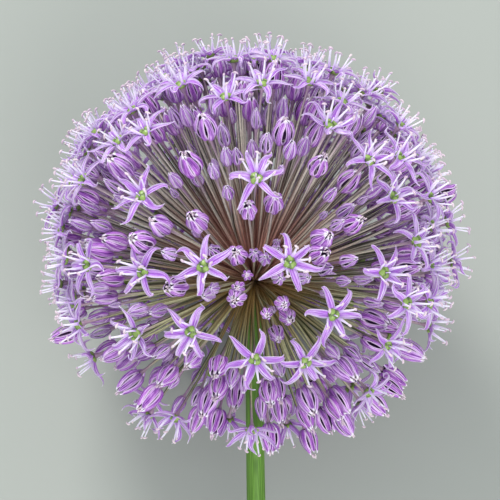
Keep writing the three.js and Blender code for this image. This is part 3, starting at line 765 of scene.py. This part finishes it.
def shut_tepals(piece, group, shape):
    """Six tepals still shut into a cage or a bud: slits between them, and their tips curled at the mouth."""
    stations = np.linspace(0, 1, shape["stations"])
    dice = group.wide_dice
    size = (group.size * vary(SHUT_SIZES, group.dice["b"][:, 0]))[:, None, None]
    curl = rise_between(stations, 0.8, 1)
    whorl = shape["radius"] * (0.035 * np.array([1, -1] * 3)[:, None] + 0.08 * (dice["i"] - 0.5))
    radius = shape["radius"] * egg(stations, shape, shape["mouth"] * (0.4 + 1.2 * dice["a"][:, :1])) + whorl
    radius = np.maximum(radius, 0.1)
    flare = shape["flare"] * (dice["c"] * 1.6 - 0.7) * curl ** 1.5
    height = shape["length"] * (stations ** 1.08 + 0.1 * (dice["d"] - 0.6) * curl)
    aside = 0.3 * shape["radius"] * (dice["e"] - 0.5) * curl
    angles = group.angles[..., None] + 0.35 * (dice["f"][:, :1] - 0.5) * stations
    lines = group.points(angles, size * (radius + flare), size * height, size * aside)
    side = group.vectors(angles, 0, 0, 1)
    parted = rise_between(stations, 0.1, 0.4) * (1 - 0.8 * rise_between(stations, 0.62, 0.9))
    slit = shape["slit"] * (0.4 + 1.1 * dice["g"][:, :1] + 0.6 * (dice["h"] - 0.5)) * parted
    narrowing = 1 - 0.66 * rise_between(stations, 0.86, 1.04)
    touching = radius / (math.sqrt(3) + shape["ribs"])
    half_width = size * (touching * (1.05 - slit) + 0.05) * narrowing
    thickness = size * (0.36 - 0.16 * stations)
    rings = tepal_rings(lines, side, half_width, shape["ribs"], thickness)
    # The upper faces of a shut floret's tepals face inwards, and the material gives them dark painted shade.
    piece.add(rings, stations[:, None], TEPAL_RING, group.tepal_tint, TEPAL_UPPER)


def shut_anthers(piece, lanterns):
    """What shows of the stamens in a lantern's mouth."""
    stations = np.linspace(0, 1, 6)
    dice = lanterns.wide_dice
    size = lanterns.size[:, None, None]
    angles = lanterns.angles[..., None] + dice["g"] + 0 * stations
    out = size * (0.2 + 0.8 * dice["b"] + 0.7 * (dice["g"] - 0.5) * stations)
    height = size * LANTERN["length"] * (0.8 + 0.15 * stations + 0.16 * dice["c"])
    lines = lanterns.points(angles, out + 0 * stations, height)
    side = lanterns.vectors(angles, 1, 0)
    radii = 0.3 * np.sqrt(np.maximum(0.04, 1 - (2 * stations - 1) ** 2))
    piece.add(round_tubes(lines, side, radii, 6), stations[:, None], 0, lanterns.dice["h"][..., None, None])


# --- Stalks, core and scape
def stalks(piece, group, top_radius):
    stations = STALK_STATIONS
    roots = group.roots()
    span = group.origin - roots
    side = unit(np.cross(span, group.up + 0.3 * group.right))
    other = unit(np.cross(span, side))
    bow = np.sin(math.pi * stations)[:, None]
    lines = roots[:, None] + span[:, None] * stations[:, None]
    for direction, letter in ((side, "a"), (other, "c")):
        lines = lines + direction[:, None] * STALK_SWAY * (group.dice[letter][:, :1, None] - 0.5) * bow
    radii = STALK_RADIUS * np.interp(stations, *STALK_WIDTHS)
    radii = radii + (top_radius - STALK_RADIUS) * rise_between(stations, STALK_TOP_FROM, 1)
    radii = radii * (0.4 + 0.6 * group.size)[:, None]
    rings = round_tubes(lines, side[:, None], radii, len(STALK_STRIPES_AND_HIGHLIGHTS))
    towards_top = group.place[:, 1] / np.linalg.norm(group.place, axis=1)
    piece.add(rings, stations[:, None], towards_top[:, None, None], group.tint[:, None, None], STALK_STRIPES_AND_HIGHLIGHTS)


def receptacle(piece):
    """The swollen end of the scape, knobbly where the stalks stand on it."""
    stations = np.linspace(0, 1, 25)[:, None]
    turns = turns_of(40)
    round_ = math.pi * (0.01 + 0.98 * stations)
    knobs = np.sin(CORE_KNOBS[0] * turns + 6 * stations) * np.sin(CORE_KNOBS[1] * round_)
    radius = CORE_RADIUS * (1 + KNOB_HEIGHT * knobs)
    across = radius * np.sin(round_)
    places = np.stack([across * np.cos(turns), -radius * np.cos(round_), -across * np.sin(turns)], axis=-1)
    piece.add(in_world(places), stations)


def scape(piece):
    """The cut stem: faintly ribbed, rounded at the cut, where its pith lies a little lower."""
    top = SCAPE_INTO_CORE - CORE_RADIUS
    below = np.linspace(-SCAPE_LENGTH + 0.35, top, 46)
    share = (below + SCAPE_LENGTH) / (top + SCAPE_LENGTH)
    sides = SCAPE_RADIUS_CUT + (SCAPE_RADIUS_TOP - SCAPE_RADIUS_CUT) * share
    swell = 0.5 * rise_between(share, 0.93, 1)
    along = np.concatenate([CUT_DEPTHS - np.array(SCAPE_LENGTH), below])
    radii = np.concatenate([CUT_RADII, sides + swell])
    rind = np.concatenate([CUT_RIND, np.ones(len(below))])
    turns = turns_of(48)
    depth = RIB_DEPTH * np.clip(radii / SCAPE_RADIUS_CUT, 0, 1)[:, None] ** 2
    radii = radii[:, None] * (1 - depth * (1 + np.cos(SCAPE_RIBS * turns)))
    lean = SCAPE_LEAN * (along / SCAPE_LENGTH) ** 2
    across = lean[:, None] + radii * np.sin(turns)
    places = np.stack([across, along[:, None] + 0 * across, radii * np.cos(turns)], axis=-1)
    piece.add(in_world(places), 1 + along[:, None] / SCAPE_LENGTH, rind[:, None], np.cos(turns))


# --- Materials
MIX_FIRST, MIX_SECOND, MIX_RESULT = 6, 7, 2  # sockets of a node that mixes colours


class Finish:
    """One material. Each method adds a node and gives back what comes out of it."""

    def __init__(self, name, **sockets):
        self.material = bpy.data.materials.new(name)
        self.material.use_nodes = True
        self.nodes = self.material.node_tree.nodes
        self.shader = self.nodes["Principled BSDF"]
        for socket, value in sockets.items():
            self.shader.inputs[socket.replace("_", " ")].default_value = value

    def connect(self, source, socket):
        if isinstance(source, bpy.types.NodeSocket):
            self.material.node_tree.links.new(source, socket)
        else:
            socket.default_value = source

    def node(self, kind, *values):
        """Adds a node of this kind, with these values in its first sockets."""
        node = self.nodes.new("ShaderNode" + kind)
        for value, socket in zip(values, node.inputs):
            self.connect(value, socket)
        return node

    def number(self, name):
        node = self.node("Attribute")
        node.attribute_name = name
        return node.outputs["Fac"]

    def math(self, operation, *values):
        node = self.node("Math", *values)
        node.operation = operation
        return node.outputs[0]

    def between(self, value, low, high, low_result=0, high_result=1):
        """Goes smoothly from one result to the other as the value goes from low to high."""
        node = self.node("MapRange", value, low, high, low_result, high_result)
        node.interpolation_type = "SMOOTHSTEP"
        return node.outputs[0]

    def mix(self, factor, first, second, blend="MIX"):
        node = self.node("Mix", factor)
        node.data_type = "RGBA"
        node.blend_type = blend
        self.connect(first, node.inputs[MIX_FIRST])
        self.connect(second, node.inputs[MIX_SECOND])
        return node.outputs[MIX_RESULT]

    def layers(self, shade, *layers):
        """Lays colours over a shade. A layer is its colour, the value it follows, from where to where it
        changes, and how strong it is at both."""
        for over, *strength in layers:
            shade = self.mix(self.between(*strength), shade, over)
        return shade

    def vector(self, *parts):
        return self.node("CombineXYZ", *parts).outputs[0]

    def noise(self, vector, scale, detail=2):
        node = self.node("TexNoise", vector)
        node.inputs["Scale"].default_value = scale
        node.inputs["Detail"].default_value = detail
        return node.outputs[0]

    def grain(self, scale, detail=2):
        return self.noise(self.node("TexCoord").outputs["Object"], scale, detail)

    def streaks(self, sideways, lengthways, scale):
        """Noise drawn out along a tepal or stem, different on each bloom."""
        across = self.math("MULTIPLY", self.number("across"), sideways)
        along = self.math("MULTIPLY", self.number("along"), lengthways)
        other = self.math("MULTIPLY", self.number("tint"), 57)
        return self.noise(self.vector(across, along, other), scale)

    def end(self, base, height, strength, distance):
        """Gives the shader its colour and bumps."""
        bump = self.node("Bump", strength, distance * MM)
        self.connect(height, bump.inputs["Height"])
        self.connect(bump.outputs[0], self.shader.inputs["Normal"])
        self.connect(base, self.shader.inputs["Base Color"])
        return self.material


# How much light goes through the open tepals and stamens, and through the shut ones.
OPEN_LIGHT = {"Subsurface_Weight": 0.65, "Subsurface_Radius": (1, 0.8, 1), "Subsurface_Scale": 1.6 * MM}
SHUT_LIGHT = {"Subsurface_Weight": 0.3, "Subsurface_Radius": (1, 0.75, 1), "Subsurface_Scale": 0.6 * MM}


# How tepals look: the light through them, the colours of their body, stripes, margins and base and of pale
# ones, from what share of the half width on the margins are bright, and how strong the contrast is.
TEPAL_LOOKS = {
    "open_tepal": (OPEN_LIGHT, (203, 146, 240), (148, 78, 192), (246, 233, 255), (166, 100, 204),
                   (224, 192, 252), 0.75, 0.85),
    "lantern_tepal": (SHUT_LIGHT, (190, 105, 213), (108, 32, 140), (249, 220, 255), (152, 90, 184),
                      (221, 169, 246), 0.68, 0.8),
    "bud_tepal": (SHUT_LIGHT, (194, 132, 219), (114, 52, 148), (250, 230, 255), (168, 120, 184),
                  (223, 184, 246), 0.64, 0.85),
}
TEPAL_POINT = colour(250, 242, 252)
# Painted shade: the dark colour given to the inner faces of shut tepals, seen through their slits.
TEPAL_INSIDE_SHADE = colour(66, 30, 82)
STALK_UNDER_BLOOM = colour(170, 132, 168)
STALK_GRIME = (0.5, 0.48, 0.45, 1)
FILAMENT_GRIME = (0.7, 0.65, 0.75, 1)
PITH = colour(206, 214, 160)


def petal_finish(name):
    """A lilac tepal with a darker midrib, streaks along it, bright margins, a white point and, when shut,
    painted shade on its inner faces.
    """
    light, *colours, margin_from, contrast = TEPAL_LOOKS[name]
    body, stripe, margin, base, pale = (colour(*parts) for parts in colours)
    finish = Finish(name, Roughness=0.5, Sheen_Weight=0.12, Specular_IOR_Level=0.35, **light)
    aside = finish.math("ABSOLUTE", finish.number("across"))
    along = finish.number("along")
    tint = finish.number("tint")
    streaks = finish.streaks(3.0, 1.1, 1.6)
    fine = finish.streaks(9.0, 1.6, 1.8)
    shade = finish.layers(
        body,
        (pale, tint, 0.25, 0.95, 0, 0.75),
        (stripe, streaks, 0.53, 0.4, 0, 0.95),
        (margin, streaks, 0.54, 0.66, 0, contrast),
        (stripe, fine, 0.5, 0.36, 0, 0.55),
        (margin, fine, 0.52, 0.7, 0, 0.5 * contrast),
        (stripe, aside, 0.24, 0.06, 0, 0.6),
        (base, along, 0, 0.3, 0.65, 0),
        (margin, aside, margin_from, margin_from + 0.22, 0, 0.8),
        (TEPAL_POINT, along, 0.9, 0.98, 0, 0.95),
    )
    # Painted shade on the inner faces of shut tepals, fading out towards the mouth.
    deep = finish.math("MULTIPLY", finish.number("inner"), finish.between(along, 0.78, 0.92, 1, 0))
    shade = finish.layers(shade, (TEPAL_INSIDE_SHADE, deep, 0.1, 0.9))
    return finish.end(shade, streaks, 0.35, 0.2)


def stalk_finish():
    """Olive stalks with pale stripes that are partly painted highlight lines, red-brown at the root above the
    hub and violet under the flower.
    """
    finish = Finish("stalk", Roughness=0.34, Specular_IOR_Level=0.5)
    along = finish.number("along")
    tint = finish.number("tint")
    other = finish.between(finish.noise(finish.vector(finish.math("MULTIPLY", tint, 91)), 1), 0.35, 0.65)
    # The pale stripes are partly painted highlight lines; shine mixes dark and pale by them and by the
    # stalk's tint.
    striped = finish.math("MULTIPLY", finish.number("inner"), 0.45)
    tint = finish.math("ADD", striped, finish.math("MULTIPLY", tint, 0.6))
    other = finish.math("ADD", striped, finish.math("MULTIPLY", other, 0.55))
    upwards = finish.between(finish.number("across"), -0.3, 0.45)
    shine = finish.between(tint, 0.15, 0.9)
    middle = finish.mix(upwards, finish.mix(shine, colour(54, 60, 24), colour(204, 204, 156)),
                        finish.mix(shine, colour(46, 42, 28), colour(244, 236, 216)))
    root = finish.mix(upwards, finish.mix(other, colour(66, 54, 22), colour(190, 158, 98)),
                      finish.mix(other, colour(96, 40, 32), colour(255, 196, 176)))
    shade = finish.layers(middle, (root, along, 0.15, 0.7, 1, 0), (STALK_UNDER_BLOOM, along, 0.78, 1, 0, 0.8))
    grain = finish.grain(900, 3)
    shade = finish.mix(finish.between(grain, 0.35, 0.7, 0.3, 0), shade, STALK_GRIME, "MULTIPLY")
    return finish.end(shade, grain, 0.12, 0.1)


def filament_finish():
    finish = Finish("filament", Roughness=0.45, Specular_IOR_Level=0.4, **OPEN_LIGHT)
    shade = finish.layers(colour(188, 146, 226), (colour(242, 232, 253), finish.number("along"), 0, 0.7))
    grain = finish.grain(1500)
    shade = finish.mix(finish.between(grain, 0.4, 0.7, 0.2, 0), shade, FILAMENT_GRIME, "MULTIPLY")
    return finish.end(shade, grain, 0.2, 0.1)


def anther_finish():
    finish = Finish("anther", Roughness=0.7, Sheen_Weight=0.3)
    shade = finish.mix(finish.number("tint"), colour(240, 226, 228), colour(214, 190, 210))
    grain = finish.grain(4000, 3)
    shade = finish.layers(shade, (colour(176, 142, 156), grain, 0.35, 0.65, 0.5, 0))
    return finish.end(shade, grain, 0.6, 0.2)


def ovary_finish():
    """Green lobes with a faint waxy gloss, painted lighter on their backs and with painted shade in the
    grooves between them.
    """
    finish = Finish("ovary", Roughness=0.38, Specular_IOR_Level=0.5, Coat_Weight=0.15)
    # Painted shade and highlight: darker in the grooves between the lobes, lighter on their backs.
    shade = finish.layers(colour(80, 106, 38), (colour(136, 168, 76), finish.number("across"), 0.2, 0.9))
    grain = finish.grain(2200, 3)
    shade = finish.layers(shade, (colour(164, 186, 112), grain, 0.4, 0.75, 0, 0.5))
    return finish.end(shade, grain, 0.4, 0.15)


def core_finish():
    finish = Finish("core", Roughness=0.6)
    grain = finish.grain(600, 3)
    shade = finish.mix(grain, colour(124, 108, 60), colour(164, 134, 88))
    return finish.end(shade, grain, 0.5, 0.4)


def scape_finish():
    """Waxy green with long faint streaks, and a paler cut end."""
    finish = Finish("scape", Roughness=0.45, Specular_IOR_Level=0.3)
    around = finish.math("MULTIPLY", finish.number("tint"), 9)
    fibres = finish.noise(finish.vector(around, finish.math("MULTIPLY", finish.number("along"), 7)), 2, 3)
    cloud = finish.grain(40)
    shade = finish.layers(
        colour(66, 104, 26),
        (colour(102, 146, 54), fibres, 0.35, 0.65),
        (colour(124, 168, 76), cloud, 0.35, 0.7, 0, 0.25),
        (PITH, finish.number("across"), 0.85, 1, 0.85, 0),
    )
    return finish.end(shade, fibres, 0.3, 0.2)


# --- The head. Its tepals are made once to see how far to lift each bloom off the floor, and then for good
def make_tepals(piece, kind, group):
    if kind.startswith("open"):
        open_tepals(piece, group)
    else:
        shut_tepals(piece, group, LANTERN if kind.startswith("lantern") else BUD)


def lift_clear(groups):
    """Lifts each bloom that would go through the floor, as the head's own weight presses it."""
    for kind, group in groups.items():
        piece = Piece()
        make_tepals(piece, kind, group)
        lowest = np.concatenate(piece.corners)[:, 2].reshape(group.count, -1).min(axis=1)
        group.origin[:, 2] += np.maximum(0, FLOOR_CLEARANCE - lowest)


def make_pieces(groups):
    parts = collections.defaultdict(Piece)
    for kind, group in groups.items():
        make_tepals(parts[TEPAL_PIECES[kind]], kind, group)
        if kind.startswith("open"):
            filaments_and_anthers(parts["filaments"], parts["anthers"], group)
            ovaries(parts["ovaries"], parts["styles"], group)
        if kind.startswith("lantern"):
            shut_anthers(parts["anthers"], group)
        stalks(parts["pedicels"], group, STALK_TOPS[kind.split("_")[0]])
    receptacle(parts["receptacle"])
    scape(parts["scape_stem"])
    return parts


def make_head():
    dice = np.random.default_rng(SEED)
    blooms = all_blooms()
    groups = {kind: Group(blooms, kind, dice) for kind in TEPAL_PIECES}
    lift_clear(groups)
    parts = make_pieces(groups)
    petals = [petal_finish(name) for name in TEPAL_LOOKS]
    open_petal, shut_petal, bud_petal = petals
    filament = filament_finish()
    looks = {
        "open_tepals": open_petal, "filler_tepals": open_petal, "filaments": filament,
        "anthers": anther_finish(), "ovaries": ovary_finish(), "styles": filament,
        "lantern_tepals": shut_petal, "filler_lanterns": shut_petal, "buds": bud_petal,
        "filler_buds": bud_petal, "pedicels": stalk_finish(), "receptacle": core_finish(),
    }
    for name, material in looks.items():
        parts[name].finish(name, "umbel", "florets", material, TEPAL_SHARP if material in petals else None)
    parts["scape_stem"].finish("scape_stem", "scape", "scape", scape_finish(), SCAPE_SHARP)


make_camera()
make_surroundings()
make_head()
